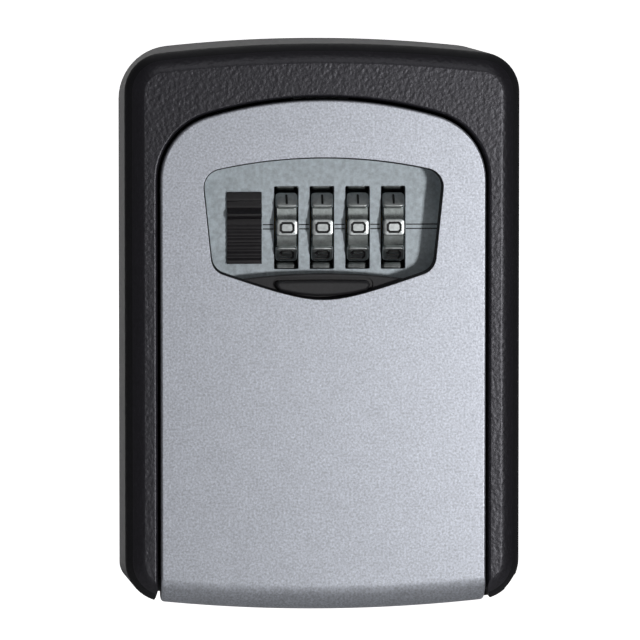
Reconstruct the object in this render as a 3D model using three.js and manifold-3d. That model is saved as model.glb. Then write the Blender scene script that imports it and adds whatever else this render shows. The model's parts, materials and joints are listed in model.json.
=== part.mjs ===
// Wall-mounted key lock box with a four-dial combination, a sliding weather shutter over the dials
// and a front door hinged along its bottom edge.
// Millimetres, +Z up. Origin: centre of the flat wall face. The front of the box looks toward -Y.
// "Depth" always means the distance behind the door's front face.

import * as THREE from "three";
import { mergeVertices } from "three/addons/utils/BufferGeometryUtils.js";
import Module from "manifold-3d";

const wasm = await Module();
wasm.setup();

// ---------------------------------------------------------------- overall sizes
const WIDTH = 84;
const HEIGHT = 120;
const DEPTH = 40;
const TOP = HEIGHT / 2;
const BOTTOM = -HEIGHT / 2;
const GAP = 0.3;
const SIDES = [-1, 1];

// housing casting
const HOUSING_FRONT = 1.2;
const WALL = 3;
const BACK_WALL = 2.5;
const FLANGE = 3;
const FRONT_FILLET = 4;
const TOP_ARCH_RADIUS = 300;
const BOTTOM_ARCH_RADIUS = 330;
const TOP_CORNER = 9.5;
const BOTTOM_CORNER = 8.8;
const MOUNT_HOLE = { x: 24, z: 36, radius: 2.75, padRadius: 5.5, padHeight: 0.8 };
const STRIKE = { halfWidth: 14, front: 4, back: 10 };
const PIN_BOSS = { front: 2.2, back: 11, top: 5 };
const EMBED = 0.5;

// door casting
const DOOR_HALF_WIDTH = 34.5;
const DOOR_TOP = 48.3;
const DOOR_GAP = 0.6;
const DOOR_ARCH_RADIUS = 86;
const DOOR_CORNER = 14;
const DOOR_SKIN = 2.5;
const SKIRT_WALL = 2.2;
const SKIRT_BACK = 8.5;
const DOOR_EDGE_ROUND = 0.6;
const DOOR_LOWER_CORNER = 1;
const NEARLY_FLAT = 2000;

// hinge along the bottom edge
const BARREL_RADIUS = 5.2;
const PIN_DEPTH = BARREL_RADIUS;
const PIN_Z = BOTTOM + BARREL_RADIUS;
const PIN_RADIUS = 1.5;
const BARREL_ROOM = 0.6;
const PIN_FIT = 0.15;
const KNUCKLE_INNER_X = 24;
const PIN_END = { left: -38.3, right: 38.6 };

// window in the door, and the dished plate behind it
const WINDOW = {
  halfWidth: 25.4,
  lowerHalfWidth: 23.9,
  top: 36.1,
  bottom: 6,
  topRadius: 105,
  bottomRadius: 39,
  topCorner: 4,
  bottomCorner: 6,
};
const PLATE = { rim: 4.8, front: 8.4, back: 9.4, bottom: 4, bottomRadius: 400, corner: 4 };
const PLATE_FLANGE = 1.5;
const PLATE_REVEAL = 0.2;
const SLOT = { width: 5.15, top: 29.6, bottom: 12 };
const SHANK_SLOT = { halfWidth: 2.2, bottom: 13.6, top: 27.2 };

// dials on their shaft
const DIAL_COUNT = 4;
const DIAL_PITCH = 7.6;
const FIRST_DIAL_X = -7.45;
const AXIS_Z = 21;
const AXIS_DEPTH = 15.3;
const DIAL_WIDTH = 4.7;
const DIAL_BORE = 3.4;
const PAD_COUNT = 10;
const PAD_DISTANCE = 10.1;
const PAD_HALF_HEIGHT = 1.95;
const GROOVE_RADIUS = 9.4;
const GROOVE_ANGLE = THREE.MathUtils.degToRad(13);
const DIAL_SWEEP = 10.8;
const SHAFT_RADIUS = 2;
const SHAFT_BORE = 2.25;
const SHAFT_END = 29.3;
const CLIP = { inner: 28.1, outer: 28.7, grooveRadius: 1.6, radius: 3.8 };
const COLLAR = { from: -14.25, to: -12.75, radius: 3.2 };

// gate cams, one per dial, and the reset lever that slides them along the shaft
const CAM_DISC = { from: 2.6, to: 3.6, radius: 5.6 };
const SLEEVE = { from: -3.7, radius: 3 };
const GATE = { width: 3.6, floor: 3.2 };
const KEY_TOOTH = { from: 1.5, reach: 4.4, halfWidth: 0.8, room: 0.4 };
const LEVER = { from: -12.45, to: -11.45, forkRadius: 4.2, armHalf: 2, tabHalf: 2.8, tabBack: 30.4 };
const RESET_TRAVEL = 1.4;

// latch plate and button
const LATCH = { front: 10.4, back: 11.9, barBottom: 35.9, barTop: 38.4, shelfBack: 16.8 };
const WEB = { left: -25, leftInner: -12.95, right: 25.4, rightInner: 21 };
const TONGUE = { halfWidth: 6, top: 51.3 };
const FINGER = { from: 2.65, to: 3.55, bottom: 27, front: 13.8 };
const SEAT = { bottom: 12.8, top: 14.2, halfWidth: 2.3, back: 16.4 };
const BUTTON = { x: -16.4, z: 20.8, width: 7.4, height: 15.3, back: 8.1, face: 7.5, crest: 6.6 };
const BANDS = { count: 2, top: 1.6, pitch: 1.5, step: 0.25 };
const THUMB_RIDGE = { below: 4.1, height: 1.1, foot: 1.9 };
const RIBS = { count: 9, below: 2.5, pitch: 0.95 };
const SHANK = { halfWidth: 1.9, bottom: 18, top: 26.8 };
const RIVET = { z: [19.8, 24.6], hole: 1.2, stem: 0.9, head: 1.8, tail: 0.6, headBack: 13 };

// weather shutter
const SHUTTER = {
  front: 2.9,
  back: 4.5,
  halfWidth: 27,
  top: 11.9,
  bottom: -19.5,
  topRadius: 105,
  bottomRadius: NEARLY_FLAT,
  topCorner: 2,
  bottomCorner: 2,
};
const GRIP = {
  front: 1.3,
  halfWidth: 10,
  lowerHalfWidth: 9.6,
  top: 10,
  bottom: 6.6,
  topRadius: 300,
  bottomRadius: 37,
  topCorner: 0.9,
  bottomCorner: 0.7,
};
const RAIL = { from: 27.4, to: 28.6, back: 5.2, bottom: -21, top: 37.5 };
const CLICK_SPRING = { z: -13, halfSpan: 10, sagitta: 3.1, thickness: 0.35, halfWidth: 3, clear: 0.45 };

// lock case, its cover, and the liner over the lower half of the door
const CASE = {
  front: 9.8,
  back: 26,
  halfWidth: 27.8,
  top: 44.3,
  bottom: -1,
  wall: 1.6,
  topRadius: 82,
  topCorner: 10,
  bottomCorner: 2.5,
};
const COVER = { front: 26.3, back: 27.5 };
const CASE_EAR = { halfHeight: 3, reach: 1.9 };
const SHAFT_SLOT = 2.2;
const COVER_POST = { radius: 2.4, front: 17.4, holeFront: 18.4 };
const SPRING_CLAMP = { from: -9, to: 18, back: 23.7, front: 22.3, low: 3, behind: 24.7, high: 6 };
const LINER = { front: 8.8, back: 10, halfWidth: 33.2, top: -1.6, bottom: -47.5 };
const LINER_RAIL = { from: 21, to: 25, bottom: -24, top: -3 };
const CASE_SCREWS = { x: 30.2, z: [4, 28], seat: 12, postBack: 9.5 };
const COVER_SCREWS = [[23.9, 3], [20.5, 38.5]];
const LINER_SCREWS = { x: 29.8, z: [-43, -8] };
const SCREW = { shank: 1, hole: 1.3, head: 1.85, headHeight: 1.3, post: 2.2 };

// springs
const LATCH_SPRING = { x: [-21.2, 23], depth: 14, radius: 1.75, wire: 0.6, turns: 6 };
const RESET_SPRING = { radius: 2.7, wire: 0.5, turns: 4 };
const DETENT = { bottom: 9.3, top: 9.7, back: 24.4, bend: 24, front: 13.5, shoulder: 21, halfWidth: 1.9 };
const NIB = { half: 0.8, height: 0.5, halfWidth: 1.5 };

// ---------------------------------------------------------------- finishes
const FINISH = {
  silver: { color: 0xb9bec9, roughness: 0.45, metalness: 0.85 },
  blackPaint: { color: 0x1c1c20, roughness: 0.42, metalness: 0.2 },
  plateSilver: { color: 0xa3adb3, roughness: 0.5, metalness: 0.75 },
  darkChrome: { color: 0x4a4f52, roughness: 0.22, metalness: 0.95 },
  blackPlastic: { color: 0x17161a, roughness: 0.5, metalness: 0 },
  greyPlastic: { color: 0x3a393e, roughness: 0.6, metalness: 0 },
  zinc: { color: 0x8d9196, roughness: 0.4, metalness: 0.9 },
  springSteel: { color: 0xa8abb0, roughness: 0.25, metalness: 1 },
  brass: { color: 0xb08d4a, roughness: 0.35, metalness: 0.95 },
};

// ---------------------------------------------------------------- solids
const yAt = (depth) => depth - DEPTH;

function toSolid(geometry) {
  const bare = geometry.clone();
  bare.deleteAttribute("normal");
  bare.deleteAttribute("uv");
  const merged = mergeVertices(bare, 1e-4);
  const vertProperties = new Float32Array(merged.attributes.position.array);
  const triVerts = new Uint32Array(merged.index.array);
  return new wasm.Manifold(new wasm.Mesh({ numProp: 3, vertProperties, triVerts }));
}

function toGeometry(manifold) {
  const data = manifold.getMesh();
  const geometry = new THREE.BufferGeometry();
  geometry.setAttribute("position", new THREE.BufferAttribute(data.vertProperties, 3));
  geometry.setIndex(new THREE.BufferAttribute(data.triVerts, 1));
  geometry.computeVertexNormals();
  return geometry;
}

const ordered = (a, b) => [Math.min(a, b), Math.max(a, b)];
const join = (parts) => parts.reduce((whole, part) => whole.add(part));
const cut = (body, tools) => tools.reduce((rest, tool) => rest.subtract(tool), body);

function box(x0, x1, depth0, depth1, z0, z1) {
  const geometry = new THREE.BoxGeometry(x1 - x0, depth1 - depth0, z1 - z0);
  geometry.translate((x0 + x1) / 2, yAt((depth0 + depth1) / 2), (z0 + z1) / 2);
  return toSolid(geometry);
}

// a flat outline in X and Z, filled from the front depth to the back depth
function slab(outline, front, back, curveSegments = 5) {
  const options = { depth: back - front, bevelEnabled: false, curveSegments };
  const geometry = new THREE.ExtrudeGeometry(outline, options);
  geometry.rotateX(Math.PI / 2);
  geometry.translate(0, yAt(back), 0);
  return toSolid(geometry);
}

// the same, with its front edge rounded
function roundedSlab(outline, front, back, radius, curveSegments = 5, bevelSegments = 4) {
  const geometry = new THREE.ExtrudeGeometry(outline, {
    depth: back - front,
    bevelThickness: radius,
    bevelSize: radius,
    bevelOffset: -radius,
    bevelSegments,
    curveSegments,
  });
  geometry.rotateX(Math.PI / 2);
  geometry.translate(0, yAt(back) + radius, 0);
  return toSolid(geometry).intersect(box(-WIDTH, WIDTH, front - 1, back, -HEIGHT, HEIGHT));
}

// an outline in depth and Z, drawn along X
function bar(outline, x0, x1, curveSegments = 8) {
  const options = { depth: x1 - x0, bevelEnabled: false, curveSegments };
  const geometry = new THREE.ExtrudeGeometry(outline, options);
  const axes = [new THREE.Vector3(0, 1, 0), new THREE.Vector3(0, 0, 1), new THREE.Vector3(1, 0, 0)];
  geometry.applyMatrix4(new THREE.Matrix4().makeBasis(...axes));
  geometry.translate(x0, yAt(0), 0);
  return toSolid(geometry);
}

// a round bar along X
function rodX(radius, x0, x1, depth, z, sides = 24) {
  const geometry = new THREE.CylinderGeometry(radius, radius, x1 - x0, sides);
  geometry.rotateZ(Math.PI / 2);
  geometry.translate((x0 + x1) / 2, yAt(depth), z);
  return toSolid(geometry);
}

// a round bar along the depth
function rodY(radius, front, back, x, z, sides = 16) {
  const geometry = new THREE.CylinderGeometry(radius, radius, back - front, sides);
  geometry.translate(x, yAt((front + back) / 2), z);
  return toSolid(geometry);
}

// a body of revolution about X, from [radius, x] pairs
function turned(profile, sides = 16) {
  const points = profile.map(([radius, x]) => new THREE.Vector2(radius, x));
  const geometry = new THREE.LatheGeometry(points, sides);
  geometry.rotateZ(-Math.PI / 2);
  return toSolid(geometry);
}

// an upright outline with arched ends and rounded corners; its sides may lean
function archedOutline(form) {
  const { halfWidth, top, bottom, topRadius, bottomRadius, topCorner, bottomCorner } = form;
  const lowerHalfWidth = form.lowerHalfWidth ?? halfWidth;
  const topX = halfWidth - topCorner;
  const topCentre = top - topRadius;
  const topZ = topCentre + Math.sqrt((topRadius - topCorner) ** 2 - topX ** 2);
  const topAngle = Math.atan2(topZ - topCentre, topX);
  const lowX = lowerHalfWidth - bottomCorner;
  const lowCentre = bottom + bottomRadius;
  const lowZ = lowCentre - Math.sqrt((bottomRadius - bottomCorner) ** 2 - lowX ** 2);
  const lowAngle = Math.atan2(lowCentre - lowZ, lowX);
  const span = Math.hypot(topX - lowX, topZ - lowZ);
  const sideSlope = Math.atan2(topZ - lowZ, topX - lowX);
  const sideAngle = sideSlope - Math.acos((bottomCorner - topCorner) / span);
  const shape = new THREE.Shape();
  shape.absarc(topX, topZ, topCorner, sideAngle, topAngle);
  shape.absarc(0, topCentre, topRadius, topAngle, Math.PI - topAngle);
  shape.absarc(-topX, topZ, topCorner, Math.PI - topAngle, Math.PI - sideAngle);
  shape.absarc(-lowX, lowZ, bottomCorner, Math.PI - sideAngle, Math.PI + lowAngle);
  shape.absarc(0, lowCentre, bottomRadius, Math.PI + lowAngle, 2 * Math.PI - lowAngle);
  shape.absarc(lowX, lowZ, bottomCorner, 2 * Math.PI - lowAngle, 2 * Math.PI + sideAngle);
  shape.closePath();
  return shape;
}

function polygon(points) {
  return new THREE.Shape(points.map(([u, v]) => new THREE.Vector2(u, v)));
}

function mesh(name, shape, finish) {
  const part = new THREE.Mesh(toGeometry(shape), new THREE.MeshStandardMaterial(finish));
  part.name = name;
  return part;
}

// ---------------------------------------------------------------- outlines
function housingOutline(inset) {
  return archedOutline({
    halfWidth: WIDTH / 2 - inset,
    top: TOP - inset,
    bottom: BOTTOM + inset,
    topRadius: TOP_ARCH_RADIUS - inset,
    bottomRadius: BOTTOM_ARCH_RADIUS - inset,
    topCorner: TOP_CORNER - inset,
    bottomCorner: BOTTOM_CORNER - inset,
  });
}

// door outline grown outward by the given amount, with a chosen lower end
function doorOutline(grow, bottom = BOTTOM) {
  return archedOutline({
    halfWidth: DOOR_HALF_WIDTH + grow,
    top: DOOR_TOP + grow,
    bottom,
    topRadius: DOOR_ARCH_RADIUS + grow,
    bottomRadius: BOTTOM_ARCH_RADIUS,
    topCorner: DOOR_CORNER + grow,
    bottomCorner: DOOR_LOWER_CORNER,
  });
}

// dished plate: the same upper shape, its lower edge hidden behind the open shutter
function plateOutline(grow) {
  return archedOutline({
    halfWidth: WINDOW.halfWidth + grow,
    lowerHalfWidth: WINDOW.lowerHalfWidth + grow,
    top: WINDOW.top + grow,
    bottom: PLATE.bottom - grow,
    topRadius: WINDOW.topRadius + grow,
    bottomRadius: PLATE.bottomRadius,
    topCorner: PLATE.corner + grow,
    bottomCorner: PLATE.corner + grow,
  });
}

function caseOutline(inset) {
  return archedOutline({
    halfWidth: CASE.halfWidth - inset,
    top: CASE.top - inset,
    bottom: CASE.bottom + inset,
    topRadius: CASE.topRadius - inset,
    bottomRadius: NEARLY_FLAT,
    topCorner: CASE.topCorner - inset,
    bottomCorner: CASE.bottomCorner - inset,
  });
}

// ---------------------------------------------------------------- housing and hinge
function pinBoss(side) {
  const inner = side * (DOOR_HALF_WIDTH + DOOR_GAP);
  const [x0, x1] = ordered(inner, side * (WIDTH / 2 - WALL + EMBED));
  return box(x0, x1, PIN_BOSS.front, PIN_BOSS.back, BOTTOM, PIN_Z + PIN_BOSS.top);
}

function housing() {
  const outer = roundedSlab(housingOutline(0), HOUSING_FRONT, DEPTH, FRONT_FILLET);
  const cavity = slab(housingOutline(WALL), HOUSING_FRONT + FLANGE, DEPTH - BACK_WALL);
  const opening = slab(doorOutline(DOOR_GAP, 2 * BOTTOM), HOUSING_FRONT - 1, PIN_DEPTH);
  const openingHalf = DOOR_HALF_WIDTH + DOOR_GAP;
  const roomRadius = BARREL_RADIUS + BARREL_ROOM;
  const barrelRoom = rodX(roomRadius, -openingHalf, openingHalf, PIN_DEPTH, PIN_Z, 32);
  const bosses = SIDES.map((side) => pinBoss(side).intersect(outer));
  const { halfWidth, front, back } = STRIKE;
  const strike = box(-halfWidth, halfWidth, front, back, DOOR_TOP, TOP - WALL + EMBED).subtract(opening);
  const upperStrike = box(-halfWidth, halfWidth, front, back, DOOR_TOP + DOOR_GAP, TOP);
  const corners = SIDES.flatMap((sx) => SIDES.map((sz) => [sx * MOUNT_HOLE.x, sz * MOUNT_HOLE.z]));
  const padFront = DEPTH - BACK_WALL - MOUNT_HOLE.padHeight;
  const pads = corners.map(([x, z]) => rodY(MOUNT_HOLE.padRadius, padFront, DEPTH - 1, x, z, 24));
  const holes = corners.map(([x, z]) => rodY(MOUNT_HOLE.radius, padFront - 1, DEPTH + 1, x, z, 20));
  const pinHole = rodX(PIN_RADIUS + PIN_FIT, PIN_END.left - GAP, WIDTH, PIN_DEPTH, PIN_Z, 16);
  const shell = join([cut(outer, [cavity, opening, barrelRoom]), ...bosses, ...pads]);
  const whole = shell.add(strike.intersect(upperStrike));
  return mesh("housing", cut(whole, [...holes, pinHole]), FINISH.blackPaint);
}

function hingePin() {
  const pin = rodX(PIN_RADIUS, PIN_END.left, PIN_END.right, PIN_DEPTH, PIN_Z, 16);
  return mesh("hinge_pin", pin, FINISH.springSteel);
}

// ---------------------------------------------------------------- door and the plates it carries
// side view of the door: flat front, straight back edge of the skirt, round barrel at the bottom
function doorProfile() {
  const back = SKIRT_BACK - PIN_DEPTH;
  const shape = new THREE.Shape();
  shape.moveTo(0, TOP);
  shape.lineTo(0, PIN_Z);
  shape.absarc(PIN_DEPTH, PIN_Z, BARREL_RADIUS, Math.PI, 2 * Math.PI + Math.acos(back / BARREL_RADIUS));
  shape.lineTo(SKIRT_BACK, TOP);
  shape.closePath();
  return shape;
}

// the space behind the door's skin, and inside its barrel
function doorPocket() {
  const outline = archedOutline({
    halfWidth: DOOR_HALF_WIDTH - SKIRT_WALL,
    top: DOOR_TOP - SKIRT_WALL,
    bottom: PIN_Z + BARREL_RADIUS,
    topRadius: DOOR_ARCH_RADIUS - SKIRT_WALL,
    bottomRadius: NEARLY_FLAT,
    topCorner: DOOR_CORNER - SKIRT_WALL,
    bottomCorner: DOOR_LOWER_CORNER,
  });
  const x = KNUCKLE_INNER_X;
  const barrel = box(-x, x, DOOR_SKIN, DEPTH, BOTTOM + DOOR_SKIN, PIN_Z + BARREL_RADIUS + 1);
  return slab(outline, DOOR_SKIN, DEPTH).add(barrel);
}

function doorScrewSeats() {
  const seats = [];
  for (const side of SIDES) {
    for (const z of CASE_SCREWS.z) {
      seats.push([side * CASE_SCREWS.x, z, CASE_SCREWS.postBack]);
    }
    for (const z of LINER_SCREWS.z) {
      seats.push([side * LINER_SCREWS.x, z, SKIRT_BACK]);
    }
  }
  return seats;
}

function doorCover() {
  const blank = roundedSlab(doorOutline(0), 0, 2 * BARREL_RADIUS + 1, DOOR_EDGE_ROUND, 5, 2);
  const body = blank.intersect(bar(doorProfile(), -WIDTH, WIDTH));
  const window = slab(archedOutline(WINDOW), -1, DOOR_SKIN + 1);
  const pinBore = rodX(PIN_RADIUS + GAP, -WIDTH, WIDTH, PIN_DEPTH, PIN_Z, 16);
  const rails = SIDES.map((side) => {
    const [x0, x1] = ordered(side * RAIL.from, side * RAIL.to);
    return box(x0, x1, DOOR_SKIN - 1, RAIL.back, RAIL.bottom, RAIL.top);
  });
  const seats = doorScrewSeats();
  const posts = seats.map(([x, z, back]) => rodY(SCREW.post, DOOR_SKIN - 1, back, x, z));
  const holes = seats.map(([x, z]) => rodY(SCREW.hole, DOOR_SKIN + 1, DEPTH, x, z, 12));
  const shell = cut(body, [doorPocket(), window, pinBore]);
  return mesh("door_cover", cut(join([shell, ...rails, ...posts]), holes), FINISH.silver);
}

function dialX(index) {
  return FIRST_DIAL_X + index * DIAL_PITCH;
}

const dialIndices = Array.from({ length: DIAL_COUNT }, (_, index) => index);

function dialFaceplate() {
  const dish = slab(plateOutline(PLATE_FLANGE), PLATE.rim, PLATE.back).subtract(
    slab(plateOutline(PLATE_REVEAL), PLATE.rim - 1, PLATE.front),
  );
  const openings = dialIndices.flatMap((index) => {
    const [x0, x1] = [dialX(index) - SLOT.width / 2, dialX(index) + SLOT.width / 2];
    return [
      box(x0, x1, PLATE.front - 1, PLATE.back + 1, SLOT.bottom, SLOT.top),
      rodX(DIAL_SWEEP, x0, x1, AXIS_DEPTH, AXIS_Z, 40),
    ];
  });
  const { halfWidth, bottom, top } = SHANK_SLOT;
  const [left, right] = [BUTTON.x - halfWidth, BUTTON.x + halfWidth];
  const shankSlot = box(left, right, PLATE.front - 1, PLATE.back + 1, bottom, top);
  return mesh("dial_faceplate", cut(dish, [...openings, shankSlot]), FINISH.plateSilver);
}

function caseEar(side, z) {
  const [x0, x1] = ordered(side * (CASE.halfWidth - EMBED), side * (CASE_SCREWS.x + CASE_EAR.reach));
  return box(x0, x1, CASE.front, CASE_SCREWS.seat, z - CASE_EAR.halfHeight, z + CASE_EAR.halfHeight);
}

// slot open to the back, in which one end of the dial shaft lies
function shaftSlot(side) {
  const [x0, x1] = ordered(side * (CASE.halfWidth - EMBED - 2), side * WIDTH);
  const mouth = box(x0, x1, AXIS_DEPTH, CASE.back + 1, AXIS_Z - SHAFT_SLOT, AXIS_Z + SHAFT_SLOT);
  return mouth.add(rodX(SHAFT_SLOT, x0, x1, AXIS_DEPTH, AXIS_Z, 16));
}

function lockCase() {
  const frame = slab(caseOutline(0), CASE.front, CASE.back).subtract(
    slab(caseOutline(CASE.wall), CASE.front - 1, CASE.back + 1),
  );
  const room = slab(caseOutline(PLATE_REVEAL), CASE.front, CASE.back);
  const added = [];
  const holes = [];
  for (const side of SIDES) {
    holes.push(shaftSlot(side));
    for (const z of CASE_SCREWS.z) {
      added.push(caseEar(side, z));
      holes.push(rodY(SCREW.hole, CASE.front - 1, CASE_SCREWS.seat + 1, side * CASE_SCREWS.x, z, 12));
    }
    for (const [x, z] of COVER_SCREWS) {
      added.push(rodY(COVER_POST.radius, COVER_POST.front, CASE.back, side * x, z).intersect(room));
      holes.push(rodY(SCREW.hole, COVER_POST.holeFront, CASE.back + 1, side * x, z, 12));
    }
  }
  const halfTongue = TONGUE.halfWidth + 0.5;
  holes.push(box(-halfTongue, halfTongue, CASE.front - 1, LATCH.back + 0.5, CASE.top - 4, TOP));
  const { from, to, front, back, low, behind, high } = SPRING_CLAMP;
  const foot = CASE.bottom + EMBED;
  added.push(box(from, to, front, back, foot, low), box(from, to, behind, CASE.back, foot, high));
  return mesh("lock_case", cut(join([frame, ...added]), holes), FINISH.zinc);
}

function mechanismCover() {
  const plate = slab(caseOutline(0), COVER.front, COVER.back);
  const holes = SIDES.flatMap((side) =>
    COVER_SCREWS.map(([x, z]) => rodY(SCREW.hole, COVER.front - 1, COVER.back + 1, side * x, z, 12)),
  );
  const slotEnd = LEVER.to + RESET_TRAVEL + 0.4;
  const half = LEVER.armHalf + 0.4;
  const [z0, z1] = [AXIS_Z - half, AXIS_Z + half];
  const leverSlot = box(LEVER.from - 0.4, slotEnd, COVER.front - 1, COVER.back + 1, z0, z1);
  return mesh("mechanism_cover", cut(plate, [...holes, leverSlot]), FINISH.zinc);
}

function doorLiner() {
  const outline = archedOutline({
    halfWidth: LINER.halfWidth,
    top: LINER.top,
    bottom: LINER.bottom,
    topRadius: NEARLY_FLAT,
    bottomRadius: NEARLY_FLAT,
    topCorner: 1.5,
    bottomCorner: 3,
  });
  const plate = slab(outline, LINER.front, LINER.back);
  const rails = SIDES.map((side) => {
    const [x0, x1] = ordered(side * LINER_RAIL.from, side * LINER_RAIL.to);
    return box(x0, x1, SHUTTER.back + 0.5, LINER.front + EMBED, LINER_RAIL.bottom, LINER_RAIL.top);
  });
  const [near, far] = [LINER.front - 1, LINER.back + 1];
  const holes = SIDES.flatMap((side) =>
    LINER_SCREWS.z.map((z) => rodY(SCREW.hole, near, far, side * LINER_SCREWS.x, z, 12)),
  );
  return mesh("door_liner", cut(join([plate, ...rails]), holes), FINISH.blackPlastic);
}

// pan-head screw driven toward the front, its head resting a hair behind the given depth
function screw(name, x, z, seat, length) {
  const headFront = seat + GAP;
  const profile = [
    [0, 0],
    [SCREW.shank, 0],
    [SCREW.shank, length],
    [SCREW.head, length],
    [SCREW.head, length + 0.7],
    [SCREW.head * 0.75, length + SCREW.headHeight],
    [0, length + SCREW.headHeight],
  ];
  const geometry = new THREE.LatheGeometry(profile.map(([r, y]) => new THREE.Vector2(r, y)), 12);
  const part = mesh(name, toSolid(geometry), FINISH.springSteel);
  part.position.set(x, yAt(headFront - length), z);
  return part;
}

// one set of screws, the same places on the left and on the right
function screwSet(kind, places, seat, length) {
  const all = SIDES.flatMap((side) => places.map(([x, z]) => [side * x, z]));
  return all.map(([x, z], index) => screw(`${kind}_screw_${index + 1}`, x, z, seat, length));
}

function screws() {
  const casePlaces = CASE_SCREWS.z.map((z) => [CASE_SCREWS.x, z]);
  const linerPlaces = LINER_SCREWS.z.map((z) => [LINER_SCREWS.x, z]);
  return [
    ...screwSet("case", casePlaces, CASE_SCREWS.seat, 8),
    ...screwSet("cover", COVER_SCREWS, COVER.back, 8.5),
    ...screwSet("liner", linerPlaces, LINER.back, 6),
  ];
}

// ---------------------------------------------------------------- dials, cams and shaft
function padOutline() {
  const points = [];
  const cornerRadius = Math.hypot(PAD_DISTANCE, PAD_HALF_HEIGHT);
  const cornerAngle = Math.atan2(PAD_HALF_HEIGHT, PAD_DISTANCE);
  for (let pad = 0; pad < PAD_COUNT; pad += 1) {
    const middle = (pad * 2 * Math.PI) / PAD_COUNT;
    const corners = [
      [GROOVE_RADIUS, -GROOVE_ANGLE],
      [cornerRadius, -cornerAngle],
      [cornerRadius, cornerAngle],
      [GROOVE_RADIUS, GROOVE_ANGLE],
    ];
    for (const [radius, angle] of corners) {
      points.push([radius * Math.cos(middle + angle), radius * Math.sin(middle + angle)]);
    }
  }
  return polygon(points);
}

function dial(index) {
  const wheel = bar(padOutline(), -DIAL_WIDTH / 2, DIAL_WIDTH / 2);
  const bore = rodX(DIAL_BORE, -DIAL_WIDTH, DIAL_WIDTH, 0, 0);
  const half = KEY_TOOTH.halfWidth + KEY_TOOTH.room;
  const { from, reach, room } = KEY_TOOTH;
  const keyway = box(from - room, DIAL_WIDTH, SLEEVE.radius, reach + room, -half, half);
  const part = mesh(`dial_${index + 1}`, cut(wheel, [bore, keyway]), FINISH.darkChrome);
  part.position.set(dialX(index), AXIS_DEPTH, AXIS_Z);
  return part;
}

function cam(index) {
  const sleeve = rodX(SLEEVE.radius, SLEEVE.from, CAM_DISC.to, 0, 0);
  const disc = rodX(CAM_DISC.radius, CAM_DISC.from, CAM_DISC.to, 0, 0, 36);
  const half = KEY_TOOTH.halfWidth;
  const tooth = box(KEY_TOOTH.from, CAM_DISC.from + 0.2, SLEEVE.radius - EMBED, KEY_TOOTH.reach, -half, half);
  const gateHalf = GATE.width / 2;
  const gate = box(-SLEEVE.radius, CAM_DISC.radius, -gateHalf, gateHalf, GATE.floor, CAM_DISC.radius + 1);
  const bore = rodX(SHAFT_BORE, -DIAL_PITCH, DIAL_PITCH, 0, 0, 16);
  const part = mesh(`cam_${index + 1}`, cut(join([sleeve, disc, tooth]), [gate, bore]), FINISH.brass);
  part.position.set(dialX(index), AXIS_DEPTH, AXIS_Z);
  return part;
}

function dialShaft() {
  const grooveFrom = CLIP.inner - 0.05;
  const grooveTo = CLIP.outer + 0.05;
  const shaft = turned([
    [0, -SHAFT_END],
    [SHAFT_RADIUS, -SHAFT_END],
    [SHAFT_RADIUS, -grooveTo],
    [CLIP.grooveRadius, -grooveTo],
    [CLIP.grooveRadius, -grooveFrom],
    [SHAFT_RADIUS, -grooveFrom],
    [SHAFT_RADIUS, COLLAR.from],
    [COLLAR.radius, COLLAR.from],
    [COLLAR.radius, COLLAR.to],
    [SHAFT_RADIUS, COLLAR.to],
    [SHAFT_RADIUS, grooveFrom],
    [CLIP.grooveRadius, grooveFrom],
    [CLIP.grooveRadius, grooveTo],
    [SHAFT_RADIUS, grooveTo],
    [SHAFT_RADIUS, SHAFT_END],
    [0, SHAFT_END],
  ]);
  const part = mesh("dial_shaft", shaft, FINISH.springSteel);
  part.position.set(0, yAt(AXIS_DEPTH), AXIS_Z);
  return part;
}

// open retaining clip, its mouth toward the back
function shaftClip(side) {
  const [x0, x1] = ordered(side * CLIP.inner, side * CLIP.outer);
  const innerRadius = CLIP.grooveRadius + PIN_FIT;
  const ring = cut(rodX(CLIP.radius, x0, x1, AXIS_DEPTH, AXIS_Z, 20), [
    rodX(innerRadius, -WIDTH, WIDTH, AXIS_DEPTH, AXIS_Z, 16),
    box(-WIDTH, WIDTH, AXIS_DEPTH, DEPTH, AXIS_Z - 1.2, AXIS_Z + 1.2),
  ]);
  return mesh(side < 0 ? "shaft_clip_1" : "shaft_clip_2", ring, FINISH.springSteel);
}

function resetLever() {
  const { from, to, forkRadius, armHalf, tabHalf, tabBack } = LEVER;
  const fork = rodX(forkRadius, from, to, AXIS_DEPTH, AXIS_Z);
  const arm = box(from, to, AXIS_DEPTH + 3, COVER.back + 1, AXIS_Z - armHalf, AXIS_Z + armHalf);
  const tab = box(from - 1, to + 1, COVER.back + 0.4, tabBack, AXIS_Z - tabHalf, AXIS_Z + tabHalf);
  const bore = rodX(SHAFT_BORE, -WIDTH, WIDTH, AXIS_DEPTH, AXIS_Z, 16);
  return mesh("reset_lever", join([fork, arm, tab]).subtract(bore), FINISH.brass);
}

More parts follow.
